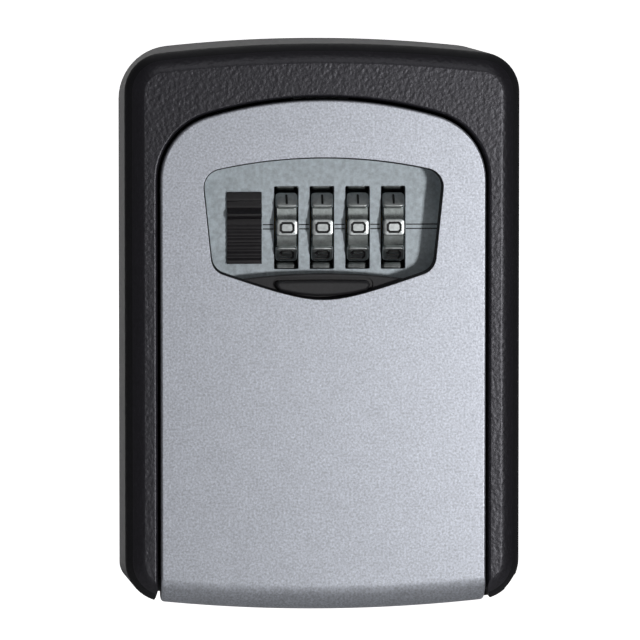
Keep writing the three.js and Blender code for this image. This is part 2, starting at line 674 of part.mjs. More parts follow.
// ---------------------------------------------------------------- latch
function latchPlate() {
  const { front, back, barBottom, barTop, shelfBack } = LATCH;
  const webs = [
    box(WEB.left, WEB.leftInner, front, back, SEAT.bottom, barTop),
    box(WEB.left, WEB.right, front, back, barBottom, barTop),
    box(WEB.rightInner, WEB.right, front, back, SEAT.bottom, barTop),
  ];
  const tongue = box(-TONGUE.halfWidth, TONGUE.halfWidth, front, back, barTop - 1, TONGUE.top);
  const shelfEnd = dialX(DIAL_COUNT - 1) + FINGER.to + 1;
  const shelf = box(dialX(0) + 1, shelfEnd, front, shelfBack, barBottom, barTop);
  const seats = LATCH_SPRING.x.map((x) => {
    const left = Math.max(x - SEAT.halfWidth, x > 0 ? WEB.rightInner : WEB.left);
    return box(left, x + SEAT.halfWidth, front, SEAT.back, SEAT.bottom, SEAT.top);
  });
  const fingers = dialIndices.map((index) => {
    const [x0, x1] = [dialX(index) + FINGER.from, dialX(index) + FINGER.to];
    return box(x0, x1, FINGER.front, shelfBack, FINGER.bottom, barBottom + EMBED);
  });
  const rivetHoles = RIVET.z.map((z) => rodY(RIVET.hole, front - 1, back + 1, BUTTON.x, z, 12));
  const room = slab(caseOutline(CASE.wall + 0.4), front - 1, CASE.back);
  const body = join([...webs, shelf, ...seats, ...fingers]).intersect(room);
  return mesh("latch_plate", cut(body.add(tongue), rivetHoles), FINISH.zinc);
}

// side view of the button: stepped bands above, a thumb ridge, then fine ribs below
function buttonProfile() {
  const { back, face, crest } = BUTTON;
  const top = BUTTON.z + BUTTON.height / 2;
  const bottom = BUTTON.z - BUTTON.height / 2;
  const hollow = face + BANDS.step;
  const points = [[back, top], [hollow, top]];
  for (let band = 0; band < BANDS.count; band += 1) {
    const z = top - BANDS.top - band * BANDS.pitch;
    points.push([face, z + 0.3], [face, z - 0.2], [hollow, z - 0.4]);
  }
  const ridge = top - THUMB_RIDGE.below;
  points.push([crest, ridge - 0.4], [crest, ridge - THUMB_RIDGE.height], [hollow, ridge - THUMB_RIDGE.foot]);
  for (let rib = 0; rib < RIBS.count; rib += 1) {
    const z = ridge - RIBS.below - rib * RIBS.pitch;
    points.push([face - 0.1, z], [hollow, z - RIBS.pitch * 0.6]);
  }
  points.push([face + 0.1, bottom], [back, bottom]);
  return polygon(points);
}

function openButton() {
  const half = BUTTON.width / 2;
  const cap = bar(buttonProfile(), BUTTON.x - half, BUTTON.x + half);
  const [left, right] = [BUTTON.x - SHANK.halfWidth, BUTTON.x + SHANK.halfWidth];
  const shank = box(left, right, BUTTON.back - EMBED, LATCH.front - GAP, SHANK.bottom, SHANK.top);
  const rivetHoles = RIVET.z.map((z) => rodY(RIVET.hole, BUTTON.back, LATCH.front, BUTTON.x, z, 12));
  return mesh("open_button", cut(join([cap, shank]), rivetHoles), FINISH.blackPlastic);
}

function buttonRivet(number, z) {
  const stem = rodY(RIVET.stem, BUTTON.back + GAP, LATCH.back + RIVET.tail, BUTTON.x, z, 12);
  const head = rodY(RIVET.head, LATCH.back + GAP, RIVET.headBack, BUTTON.x, z, 16);
  return mesh(`button_rivet_${number}`, join([stem, head]), FINISH.springSteel);
}

// ---------------------------------------------------------------- springs
class Helix extends THREE.Curve {
  constructor(radius, length, turns) {
    super();
    Object.assign(this, { radius, length, turns });
  }

  getPoint(t, target = new THREE.Vector3()) {
    const angle = 2 * Math.PI * this.turns * t;
    return target.set(this.radius * Math.cos(angle), this.radius * Math.sin(angle), this.length * t);
  }
}

function coilSpring(name, { radius, wire, turns }, length) {
  const section = new THREE.Shape();
  section.absarc(0, 0, wire / 2, 0, 2 * Math.PI);
  const path = new Helix(radius, length - wire, turns);
  const options = { extrudePath: path, steps: turns * 10, curveSegments: 3, bevelEnabled: false };
  const geometry = new THREE.ExtrudeGeometry(section, options);
  geometry.translate(0, 0, wire / 2);
  return mesh(name, toSolid(geometry), FINISH.springSteel);
}

function latchSprings() {
  return LATCH_SPRING.x.map((x, index) => {
    const floor = CASE.bottom + CASE.wall + GAP;
    const part = coilSpring(`latch_spring_${index + 1}`, LATCH_SPRING, SEAT.bottom - GAP - floor);
    part.position.set(x, yAt(LATCH_SPRING.depth), floor);
    return part;
  });
}

function resetSpring() {
  const from = dialX(DIAL_COUNT - 1) + CAM_DISC.to + GAP;
  const length = CASE.halfWidth - CASE.wall - GAP - from;
  const part = coilSpring("reset_spring", RESET_SPRING, length);
  part.rotation.y = Math.PI / 2;
  part.position.set(from, yAt(AXIS_DEPTH), AXIS_Z);
  return part;
}

// comb-shaped leaf under the dials, one finger with a nib for each dial
function detentSpring() {
  const { bottom, top, back, bend, front, shoulder, halfWidth } = DETENT;
  const [x0, x1] = [dialX(0) - 2, dialX(DIAL_COUNT - 1) + 2];
  const parts = [
    box(x0, x1, bend, back, CASE.bottom + CASE.wall + GAP, top),
    box(x0, x1, shoulder, back, bottom, top),
  ];
  const nib = polygon([
    [AXIS_DEPTH - NIB.half, top - 0.1],
    [AXIS_DEPTH + NIB.half, top - 0.1],
    [AXIS_DEPTH, top + NIB.height],
  ]);
  for (const index of dialIndices) {
    const x = dialX(index);
    parts.push(box(x - halfWidth, x + halfWidth, front, shoulder + 0.2, bottom, top));
    parts.push(bar(nib, x - NIB.halfWidth, x + NIB.halfWidth));
  }
  return mesh("detent_spring", join(parts), FINISH.springSteel);
}

// bowed leaf that presses the shutter forward so that it stays where it is put
function shutterClickSpring() {
  const { z, halfSpan, sagitta, thickness, halfWidth, clear } = CLICK_SPRING;
  const radius = (halfSpan ** 2 + sagitta ** 2) / (2 * sagitta);
  const spread = Math.asin(halfSpan / radius);
  const centreDepth = SHUTTER.back + clear + radius;
  const shape = new THREE.Shape();
  shape.absarc(centreDepth, z, radius, Math.PI - spread, Math.PI + spread);
  shape.absarc(centreDepth, z, radius - thickness, Math.PI + spread, Math.PI - spread, true);
  shape.closePath();
  return mesh("shutter_click_spring", bar(shape, -halfWidth, halfWidth, 6), FINISH.springSteel);
}

// ---------------------------------------------------------------- shutter
function shutter() {
  const sheet = slab(archedOutline(SHUTTER), SHUTTER.front, SHUTTER.back);
  const grip = slab(archedOutline(GRIP), GRIP.front, SHUTTER.front + EMBED);
  return mesh("shutter", join([sheet, grip]), FINISH.greyPlastic);
}

// ---------------------------------------------------------------- assembly
const group = new THREE.Group();
group.add(housing(), hingePin());

const door = new THREE.Group();
door.add(doorCover(), dialFaceplate(), lockCase(), mechanismCover(), doorLiner(), ...screws());
door.add(dialShaft(), ...SIDES.map(shaftClip), detentSpring(), shutterClickSpring());
door.add(...latchSprings(), resetSpring(), resetLever(), shutter());
door.add(...dialIndices.map(dial), ...dialIndices.map(cam));

const latch = new THREE.Group();
latch.add(latchPlate(), openButton(), ...RIVET.z.map((z, index) => buttonRivet(index + 1, z)));
door.add(latch);
group.add(door);

export default group;
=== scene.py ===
"""Wall-mounted key lock box: the looks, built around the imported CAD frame.

The frame's axes: +Z up, the door faces -Y, the wall is at y = 0. Shapes are worked out in
millimetres from the frame's boxes, with depths counted back from the door's front face.
"""

import json
import math

import bmesh
import bpy
from mathutils import Matrix, Vector


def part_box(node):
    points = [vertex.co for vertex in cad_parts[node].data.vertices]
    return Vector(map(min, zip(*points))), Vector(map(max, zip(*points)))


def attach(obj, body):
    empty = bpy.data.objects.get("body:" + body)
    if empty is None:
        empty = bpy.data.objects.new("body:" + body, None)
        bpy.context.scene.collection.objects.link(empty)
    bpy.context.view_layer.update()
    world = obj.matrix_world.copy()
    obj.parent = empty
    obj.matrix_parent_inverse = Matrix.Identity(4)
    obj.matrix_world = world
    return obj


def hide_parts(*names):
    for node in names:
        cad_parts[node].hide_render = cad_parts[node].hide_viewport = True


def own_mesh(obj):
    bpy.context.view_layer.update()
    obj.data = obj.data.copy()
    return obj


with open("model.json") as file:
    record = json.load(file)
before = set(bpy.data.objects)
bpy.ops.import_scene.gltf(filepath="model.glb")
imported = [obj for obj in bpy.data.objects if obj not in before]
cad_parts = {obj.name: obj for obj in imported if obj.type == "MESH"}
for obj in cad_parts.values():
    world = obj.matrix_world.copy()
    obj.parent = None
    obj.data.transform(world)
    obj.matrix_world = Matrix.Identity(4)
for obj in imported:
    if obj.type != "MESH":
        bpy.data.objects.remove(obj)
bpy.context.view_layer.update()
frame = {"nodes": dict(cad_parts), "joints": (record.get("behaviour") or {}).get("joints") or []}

MM = 0.001
SIDES = (-1, 1)

# ---------------------------------------------------------------- sizes read from the frame, in mm


def span(node):
    """Lowest and highest corners of a CAD node, in millimetres."""
    low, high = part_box(node)
    return low / MM, high / MM


housing_low, housing_high = span("housing")
door_low, door_high = span("door_cover")
plate_low, plate_high = span("dial_faceplate")
shutter_low, shutter_high = span("shutter")
button_low, button_high = span("open_button")
dial_low, dial_high = span("dial_1")
JOINTS = {joint["name"]: joint for joint in frame["joints"]}

FRONT = door_low.y
HALF_WIDTH = housing_high.x
TOP = housing_high.z + 0.15
BOTTOM = housing_low.z - 0.4
DEPTH = -FRONT
RIM_DEPTH = housing_low.y - FRONT
DOOR_HALF = door_high.x
DOOR_TOP = door_high.z
AXIS_Z = (dial_low.z + dial_high.z) / 2
AXIS_DEPTH = (dial_low.y + dial_high.y) / 2 - FRONT
DIAL_X = [(span(f"dial_{n}")[0].x + span(f"dial_{n}")[1].x) / 2 for n in range(1, 5)]
DIAL_WIDTH = dial_high.x - dial_low.x
PIN_DEPTH = JOINTS["door_hinge"]["pos_m"][1] / MM - FRONT
PIN_Z = JOINTS["door_hinge"]["pos_m"][2] / MM
BARREL = PIN_Z - BOTTOM
PLATE_RIM = plate_low.y - FRONT
PLATE_BACK = plate_high.y - FRONT
SHUTTER_FRONT = 2.9
SHUTTER_BACK = shutter_high.y - FRONT
MOAT_WIDTH = 0.75
BUTTON_X = (button_low.x + button_high.x) / 2

# shapes that the frame's boxes do not tell
WALL = 3.0
BACK_WALL = 2.5
FLANGE = 3.0
FILLET_ACROSS = 4.2
FILLET_DEEP = 3.7
FILLET_POWER = 1.5
LIP_ROUND = 0.75
BACK_ROUND = 0.5
DOOR_GAP = 0.6
PIN_HOLE_RADIUS = 1.7
PIN_HOLE_BLIND_END = -38.6
WALL_HOLE = {"x": 24, "z": 36, "radius": 2.75, "pad_radius": 5.5, "pad_height": 0.8}
BACK_RIBS = {"half_length": 33, "z": (-18, 18), "half_width": 0.6, "height": 0.6}
RIM_FACING = -0.74
RIM_BAND = 1.3
DOOR_SKIN = 2.5
DOOR_EDGE = 0.45
DOOR_ARC = 86
DOOR_CORNER = 14
DOOR_BORE = 1.8
POST_RADIUS = 2.15
POST_HOLE = 1.3
# (x, z, depth of the back end) of the screw posts on one side
DOOR_POSTS = ((30.2, 4, 9.5), (30.2, 28, 9.5), (29.8, -43, 8.5), (29.8, -8, 8.5))
STIFFENER_Z = (-26, -36)
# (depth, inset) down the drafted wall of the window
WINDOW_DRAFT = ((0.0, -0.16), (0.04, -0.07), (0.12, -0.01), (0.25, 0.03))
SKIRT_WALL = 2.2
SKIRT_BACK = 8.5
PLATE_FLOOR = 8.4
WINDOW_REACH = 27.0
SLOT_WIDTH = 5.15
SLOT_TOP = 29.6
DIAL_SWEEP = 10.8
SHANK_SLOT_HALF = 2.2
SLOT_BOTTOM = 12.0
BUTTON_FACE = 7.5
RIB_PITCH = 1.42
SHANK = {"half": 1.9, "front": 7.9, "back": 10.1, "low": 18, "high": 26.8, "rounding": 0.15}
INDEX_LINE_SPREAD = 0.46
INDEX_LINE_WIDTH = 0.24


# ---------------------------------------------------------------- outlines in X and Z


def arc(centre_x, centre_z, radius, start, end, steps):
    turns = [start + (end - start) * step / steps for step in range(steps + 1)]
    return [(centre_x + radius * math.cos(a), centre_z + radius * math.sin(a)) for a in turns]


def arched(half, top, bottom, top_radius, bottom_radius, top_corner, bottom_corner, lower_half=None):
    """An upright outline with arched ends, rounded corners and sides that may lean.

    Returns a function of an inset, so that rounded edges can be lofted from nested outlines.
    """

    def outline(inset=0.0, bottom_lift=0.0):
        r_top = max(top_corner - inset, 0.05)
        r_low = max(bottom_corner - inset, 0.05)
        big_top = top_radius - inset
        big_low = bottom_radius - inset
        top_x = half - inset - r_top
        top_centre = top - inset - big_top
        top_z = top_centre + math.sqrt((big_top - r_top) ** 2 - top_x**2)
        top_angle = math.atan2(top_z - top_centre, top_x)
        low_x = (lower_half or half) - inset - r_low
        low_centre = bottom + inset + bottom_lift + big_low
        low_z = low_centre - math.sqrt((big_low - r_low) ** 2 - low_x**2)
        low_angle = math.atan2(low_centre - low_z, low_x)
        reach = math.hypot(top_x - low_x, top_z - low_z)
        lean = math.atan2(top_z - low_z, top_x - low_x) - math.acos((r_low - r_top) / reach)
        half_turn = math.pi
        points = arc(top_x, top_z, r_top, lean, top_angle, 12)
        points += arc(0, top_centre, big_top, top_angle, half_turn - top_angle, 28)[1:-1]
        points += arc(-top_x, top_z, r_top, half_turn - top_angle, half_turn - lean, 12)
        points += arc(-low_x, low_z, r_low, half_turn - lean, half_turn + low_angle, 12)
        points += arc(0, low_centre, big_low, half_turn + low_angle, 2 * half_turn - low_angle, 28)[1:-1]
        points += arc(low_x, low_z, r_low, 2 * half_turn - low_angle, 2 * half_turn + lean, 12)
        return points

    return outline


def rounded_rectangle(x0, x1, z0, z1, corner):
    def outline(inset=0.0):
        r = max(corner - inset, 0.02)
        left, right, low, high = x0 + inset + r, x1 - inset - r, z0 + inset + r, z1 - inset - r
        quarter = math.pi / 2
        points = []
        for number, (x, z) in enumerate([(right, high), (left, high), (left, low), (right, low)]):
            points += arc(x, z, r, number * quarter, (number + 1) * quarter, 5)
        return points

    return outline


BOTTOM_ARC = 330
housing_outline = arched(HALF_WIDTH, TOP, BOTTOM, 300, BOTTOM_ARC, 8.4, 8.8)
housing_back_outline = arched(HALF_WIDTH, TOP, BOTTOM, 300, BOTTOM_ARC, 11.5, 4.5)
door_outline = arched(DOOR_HALF, DOOR_TOP, BOTTOM, DOOR_ARC, BOTTOM_ARC, DOOR_CORNER, 0.9)
opening_outline = arched(
    DOOR_HALF + DOOR_GAP, DOOR_TOP + DOOR_GAP, BOTTOM - 20,
    DOOR_ARC + DOOR_GAP, BOTTOM_ARC, DOOR_CORNER + DOOR_GAP, 1,
)
pocket_outline = arched(
    DOOR_HALF - SKIRT_WALL, DOOR_TOP - SKIRT_WALL, PIN_Z + BARREL,
    DOOR_ARC - SKIRT_WALL, 2000, DOOR_CORNER - SKIRT_WALL, 1,
)
window_arcs = arched(25.4, 36.1, 6, 105, 39, 4, 6, lower_half=23.9)
plate_outline = arched(25.4, 36.1, 4, 105, 400, 4, 4, lower_half=23.9)
shutter_outline = arched(shutter_high.x, shutter_high.z - 0.55, shutter_low.z, 130, 2000, 2, 2)
grip_outline = arched(10, 10, 6.6, 300, 37, 0.9, 0.7, lower_half=9.6)


def window_outline(inset=0.0):
    """The arched outline, its lower end drawn out into a soft V."""
    points = []
    for x, z in window_arcs(inset):
        vee = math.hypot(3.0, 0.37 * x) - 3.0
        bowl = 39 - math.sqrt(39**2 - x**2)
        share = min(max((22 - z) / 6, 0), 1)
        points.append((x, z + (vee - bowl) * share * share * (3 - 2 * share)))
    return points


# ---------------------------------------------------------------- mesh tools


def place(x, depth, z):
    return Vector((x * MM, (FRONT + depth) * MM, z * MM))


def new_object(name, bm):
    bmesh.ops.recalc_face_normals(bm, faces=bm.faces)
    data = bpy.data.meshes.new(name)
    bm.to_mesh(data)
    bm.free()
    made = bpy.data.objects.new(name, data)
    bpy.context.scene.collection.objects.link(made)
    return made


def loft(name, loops):
    """Closed solid through loops of points that all have the same count."""
    bm = bmesh.new()
    rings = [[bm.verts.new(point) for point in loop] for loop in loops]
    count = len(rings[0])
    for near, far in zip(rings, rings[1:]):
        for i in range(count):
            j = (i + 1) % count
            bm.faces.new((near[i], near[j], far[j], far[i]))
    bm.faces.new(rings[0])
    bm.faces.new(reversed(rings[-1]))
    return new_object(name, bm)


def flat_loop(points, depth):
    return [place(x, depth, z) for x, z in points]


def pillow(name, outline, front, back, round_front=0.0, round_back=0.0, steps=8, front_deep=None):
    """A flat solid whose front and back edges are rounded by nested outlines."""
    sections = []
    if round_front:
        for step in range(steps + 1):
            turn = step / steps * math.pi / 2
            inset = round_front * (1 - math.sin(turn))
            deep = (front_deep or round_front) * (1 - math.cos(turn))
            sections.append((outline(inset), front + deep))
    else:
        sections.append((outline(0), front))
    if round_back:
        for step in range(steps + 1):
            turn = (1 - step / steps) * math.pi / 2
            inset = round_back * (1 - math.sin(turn))
            sections.append((outline(inset), back - round_back * (1 - math.cos(turn))))
    else:
        sections.append((outline(0), back))
    return loft(name, [flat_loop(points, depth) for points, depth in sections])


def flared_cutter(outline, front, back, flare, steps=6):
    """Cuts a hole whose front edge is left rounded."""
    sections = [(outline(-flare), front - 1)]
    for step in range(steps + 1):
        turn = (1 - step / steps) * math.pi / 2
        grow = flare * (1 - math.cos(turn))
        sections.append((outline(-grow), front + flare * (1 - math.sin(turn))))
    sections.append((outline(0), back))
    return loft("cutter", [flat_loop(points, depth) for points, depth in sections])


def block(name, x0, x1, depth0, depth1, z0, z1, rounding=0.0):
    """A box between two corners, its edges rounded or left sharp."""
    bm = bmesh.new()
    bmesh.ops.create_cube(bm, size=1)
    middle = place((x0 + x1) / 2, (depth0 + depth1) / 2, (z0 + z1) / 2)
    size = Matrix.Diagonal((abs(x1 - x0) * MM, abs(depth1 - depth0) * MM, abs(z1 - z0) * MM, 1))
    bm.transform(Matrix.Translation(middle) @ size)
    if rounding:
        bmesh.ops.bevel(
            bm, geom=bm.edges[:], offset=rounding * MM, segments=3, affect="EDGES", profile=0.5
        )
    return new_object(name, bm)


def prism(name, x0, x1, side_view):
    """A straight bar along X whose side view is given as (depth, z) points."""
    return loft(name, [[place(x, depth, z) for depth, z in side_view] for x in (x0, x1)])


def turned(name, profile, axis, centre, sides=48):
    """Solid of revolution from (radius, distance) pairs; axis is X or Y, centre is (x, depth, z)."""
    origin = place(*centre)
    loops = []
    for radius, along in profile:
        loop = []
        for side in range(sides):
            turn = 2 * math.pi * side / sides
            u, v = radius * math.cos(turn) * MM, radius * math.sin(turn) * MM
            offset = Vector((along * MM, u, v)) if axis == "X" else Vector((u, along * MM, v))
            loop.append(origin + offset)
        loops.append(loop)
    return loft(name, loops)


def rod(name, axis, radius, start, end, centre, rounding=0.0, sides=48):
    """Round bar from start to end along X or Y, measured from its centre point."""
    if not rounding:
        return turned(name, [(radius, start), (radius, end)], axis, centre, sides)
    profile = []
    for step in range(5):
        turn = step / 4 * math.pi / 2
        inward, along = rounding * (1 - math.sin(turn)), rounding * (1 - math.cos(turn))
        profile.append((radius - inward, start + along))
    for step in range(5):
        turn = (1 - step / 4) * math.pi / 2
        inward, along = rounding * (1 - math.sin(turn)), rounding * (1 - math.cos(turn))
        profile.append((radius - inward, end - along))
    return turned(name, profile, axis, centre, sides)


def settle(piece):
    """Applies every modifier."""
    graph = bpy.context.evaluated_depsgraph_get()
    graph.update()
    made = bpy.data.meshes.new_from_object(piece.evaluated_get(graph))
    made.name = piece.name
    piece.modifiers.clear()
    piece.data = made


def carve(piece, tools, operation="DIFFERENCE"):
    group = bpy.data.collections.new("tools")
    for tool in tools:
        group.objects.link(tool)
    change = piece.modifiers.new("carve", "BOOLEAN")
    change.operand_type = "COLLECTION"
    change.collection = group
    change.operation = operation
    change.solver = "EXACT"
    settle(piece)
    for tool in tools:
        bpy.data.objects.remove(tool)
    bpy.data.collections.remove(group)
    return piece


def join(piece, parts):
    return carve(piece, parts, "UNION")


def bevel_edges(piece, width, angle):
    """Small bevels on the edges that turn by more than the angle."""
    bevel = piece.modifiers.new("edges", "BEVEL")
    bevel.width = width
    bevel.segments = 2
    bevel.limit_method = "ANGLE"
    bevel.angle_limit = math.radians(angle)


def smooth(piece, angle=32):
    """Smooth shading that keeps flat faces flat."""
    piece.data.shade_smooth()
    piece.data.set_sharp_from_angle(angle=math.radians(angle))
    weigh = piece.modifiers.new("weigh", "WEIGHTED_NORMAL")
    weigh.keep_sharp = True
    weigh.weight = 60


def set_materials(piece, materials):
    piece.data.materials.clear()
    for material in materials:
        piece.data.materials.append(material)


def finish_all(piece, materials, material):
    """Paints a whole blank or cutter with one of the materials that the finished piece will have."""
    set_materials(piece, materials)
    for face in piece.data.polygons:
        face.material_index = materials.index(material)


def dress(piece, body, node):
    """Says which body a finished piece rides, which CAD node it replaces."""
    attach(piece, body)
    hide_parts(node)


# ---------------------------------------------------------------- materials


class Finish:
    """One procedural material on a Principled shader, with helpers for its detail."""

    def __init__(self, name, color, metallic, roughness, **sockets):
        self.material = bpy.data.materials.new(name)
        self.material.use_nodes = True
        self.tree = self.material.node_tree
        self.shader = self.tree.nodes["Principled BSDF"]
        self.color = color
        self.shader.inputs["Base Color"].default_value = (*color, 1)
        self.shader.inputs["Metallic"].default_value = metallic
        self.shader.inputs["Roughness"].default_value = roughness
        for socket, value in sockets.items():
            self.shader.inputs[socket.replace("_", " ")].default_value = value
        self.where = self.tree.nodes.new("ShaderNodeTexCoord").outputs["Object"]
        self.normal = None

    def link(self, source, target):
        self.tree.links.new(source, target)

    def noise(self, size_mm, detail=3.0, stretch=(1, 1, 1), rough=0.55):
        mapping = self.tree.nodes.new("ShaderNodeMapping")
        mapping.inputs["Scale"].default_value = stretch
        self.link(self.where, mapping.inputs["Vector"])
        node = self.tree.nodes.new("ShaderNodeTexNoise")
        node.inputs["Scale"].default_value = 1000 / size_mm
        node.inputs["Detail"].default_value = detail
        node.inputs["Roughness"].default_value = rough
        self.link(mapping.outputs["Vector"], node.inputs["Vector"])
        return node.outputs["Fac"]

    def cells(self, size_mm, feature="F1"):
        node = self.tree.nodes.new("ShaderNodeTexVoronoi")
        node.feature = feature
        node.inputs["Scale"].default_value = 1000 / size_mm
        self.link(self.where, node.inputs["Vector"])
        return node

    def ramp(self, value, low, high, dark, light):
        node = self.tree.nodes.new("ShaderNodeMapRange")
        for socket, number in (("From Min", low), ("From Max", high), ("To Min", dark), ("To Max", light)):
            node.inputs[socket].default_value = number
        self.link(value, node.inputs["Value"])
        return node.outputs["Result"]

    def mottle(self, value, low, high, dark, light):
        """Base colour multiplied by a factor that follows the value."""
        factor = self.ramp(value, low, high, dark, light)
        scale = self.tree.nodes.new("ShaderNodeVectorMath")
        scale.operation = "SCALE"
        source = self.shader.inputs["Base Color"]
        if source.is_linked:
            self.link(source.links[0].from_socket, scale.inputs[0])
        else:
            scale.inputs[0].default_value = self.color
        self.link(factor, scale.inputs["Scale"])
        self.link(scale.outputs["Vector"], source)

    def vary_roughness(self, value, low, high, least, most):
        self.link(self.ramp(value, low, high, least, most), self.shader.inputs["Roughness"])

    def bump(self, value, depth_mm):
        node = self.tree.nodes.new("ShaderNodeBump")
        node.inputs["Strength"].default_value = 1.0
        node.inputs["Distance"].default_value = depth_mm * MM
        self.link(value, node.inputs["Height"])
        if self.normal is not None:
            self.link(self.normal, node.inputs["Normal"])
        self.normal = node.outputs["Normal"]
        self.link(self.normal, self.shader.inputs["Normal"])


def silver_paint():
    finish = Finish("silver_paint", (0.60, 0.625, 0.69), 0.88, 0.43)
    finish.mottle(finish.noise(0.45, 4), 0.3, 0.7, 0.74, 1.25)
    finish.mottle(finish.noise(5.0, 2), 0.3, 0.7, 0.97, 1.03)
    finish.mottle(finish.cells(0.36).outputs["Distance"], 0.0, 0.3, 1.25, 0.98)
    finish.vary_roughness(finish.noise(0.8, 2), 0.3, 0.7, 0.4, 0.46)
    finish.bump(finish.noise(0.35, 3), 0.012)
    return finish.material


def gloss_black():
    finish = Finish("gloss_black", (0.011, 0.011, 0.014), 0.0, 0.58, Specular_IOR_Level=0.38)
    finish.mottle(finish.noise(2.5, 2), 0.3, 0.7, 0.9, 1.1)
    finish.vary_roughness(finish.noise(1.2, 3), 0.3, 0.7, 0.58, 0.68)
    finish.bump(finish.noise(1.1, 3), 0.012)
    return finish.material


def textured_black():
    finish = Finish("textured_black", (0.011, 0.01, 0.014), 0.0, 0.37, Specular_IOR_Level=0.82)
    finish.shader.inputs["Specular Tint"].default_value = (0.93, 0.92, 1.0, 1)
    finish.mottle(finish.noise(0.7, 3), 0.3, 0.7, 0.75, 1.3)
    finish.bump(finish.noise(1.0, 3, rough=0.6), 0.085)
    finish.bump(finish.cells(0.8, "SMOOTH_F1").outputs["Distance"], 0.04)
    return finish.material


def plate_paint():
    finish = Finish("plate_paint", (0.54, 0.6, 0.64), 0.6, 0.5)
    finish.mottle(finish.noise(0.8, 4), 0.3, 0.7, 0.82, 1.18)
    finish.bump(finish.noise(0.3, 3), 0.01)
    return finish.material


# Painted shade: the drum and lands of the dial take a darker base colour than the pads, though all are one
# metal, standing for dark reflections.
def shade_darkened_chrome():
    finish = Finish("shade_darkened_chrome", (0.31, 0.335, 0.33), 1.0, 0.2)
    finish.mottle(finish.noise(1.4, 4), 0.3, 0.7, 0.72, 1.1)
    finish.vary_roughness(finish.noise(0.35, 4, stretch=(1, 0.2, 0.2)), 0.3, 0.7, 0.15, 0.25)
    finish.bump(finish.noise(0.6, 3), 0.008)
    return finish.material


# Painted highlight: the pads take a brighter base colour than the drum of the same metal, standing for
# bright reflections; their rougher satin finish is real.
def lit_pad_chrome():
    finish = Finish("lit_pad_chrome", (0.6, 0.63, 0.63), 1.0, 0.38)
    finish.mottle(finish.noise(1.0, 3), 0.3, 0.7, 0.8, 1.1)
    finish.vary_roughness(finish.noise(0.5, 3), 0.3, 0.7, 0.33, 0.42)
    finish.bump(finish.noise(0.5, 3), 0.01)
    return finish.material


def ink():
    finish = Finish("digit_ink", (0.006, 0.006, 0.007), 0.0, 0.5)
    finish.mottle(finish.noise(0.3, 2), 0.3, 0.7, 0.7, 1.3)
    finish.bump(finish.noise(0.2, 2), 0.01)
    return finish.material


def black_plastic():
    finish = Finish("black_plastic", (0.016, 0.014, 0.017), 0.0, 0.42)
    finish.mottle(finish.noise(0.8, 3), 0.3, 0.7, 0.8, 1.2)
    finish.bump(finish.noise(0.22, 2), 0.01)
    return finish.material


def grey_plastic():
    finish = Finish("grey_plastic", (0.04, 0.039, 0.043), 0.0, 0.55)
    finish.mottle(finish.noise(0.6, 3), 0.3, 0.7, 0.88, 1.12)
    finish.bump(finish.noise(0.25, 3), 0.015)
    return finish.material


def cast_zinc():
    finish = Finish("cast_zinc", (0.36, 0.37, 0.385), 0.9, 0.42)
    finish.mottle(finish.noise(3.0, 4), 0.3, 0.7, 0.85, 1.1)
    finish.vary_roughness(finish.noise(1.5, 4), 0.3, 0.7, 0.34, 0.52)
    finish.bump(finish.noise(0.5, 4), 0.02)
    return finish.material


def bright_steel():
    finish = Finish("bright_steel", (0.56, 0.57, 0.585), 1.0, 0.26)
    finish.mottle(finish.noise(1.5, 3), 0.3, 0.7, 0.88, 1.08)
    finish.vary_roughness(finish.noise(0.3, 3, stretch=(0.15, 1, 1)), 0.3, 0.7, 0.2, 0.36)
    finish.bump(finish.noise(0.25, 2), 0.005)
    return finish.material


def black_oxide():
    finish = Finish("black_oxide", (0.03, 0.03, 0.033), 0.8, 0.45)
    finish.mottle(finish.noise(1.5, 3), 0.3, 0.7, 0.8, 1.2)
    finish.vary_roughness(finish.noise(0.4, 3), 0.3, 0.7, 0.38, 0.52)
    finish.bump(finish.noise(0.25, 2), 0.006)
    return finish.material


def turned_brass():
    finish = Finish("turned_brass", (0.62, 0.45, 0.18), 1.0, 0.3)
    finish.mottle(finish.noise(2.0, 3), 0.3, 0.7, 0.85, 1.08)
    finish.vary_roughness(finish.noise(0.4, 4, stretch=(3, 0.3, 0.3)), 0.3, 0.7, 0.24, 0.4)
    finish.bump(finish.noise(0.3, 2), 0.006)
    return finish.material


SILVER = silver_paint()
GLOSS_BLACK = gloss_black()
TEXTURED_BLACK = textured_black()
PLATE = plate_paint()
SHADE_DARKENED_CHROME = shade_darkened_chrome()
LIT_PAD_CHROME = lit_pad_chrome()
INK = ink()
BLACK_PLASTIC = black_plastic()
GREY_PLASTIC = grey_plastic()
ZINC = cast_zinc()
STEEL = bright_steel()
BRASS = turned_brass()
BLACK_OXIDE = black_oxide()


# ---------------------------------------------------------------- housing


def housing_blank(shrink=0.0):
    """The outer form, solid, or one that lies a little inside it."""
    sections = []
    for step in range(21):
        turn = step / 20 * math.pi / 2
        inset = shrink + FILLET_ACROSS * (1 - math.sin(turn) ** (2 / FILLET_POWER))
        deep = shrink + FILLET_DEEP * (1 - math.cos(turn) ** (2 / FILLET_POWER))
        sections.append(flat_loop(housing_outline(inset), RIM_DEPTH + deep))
    for step in range(5):
        turn = (1 - step / 4) * math.pi / 2
        inset = shrink + BACK_ROUND * (1 - math.sin(turn))
        deep = shrink + BACK_ROUND * (1 - math.cos(turn))
        sections.append(flat_loop(housing_back_outline(inset), DEPTH - deep))
    return loft("housing_shell", sections)


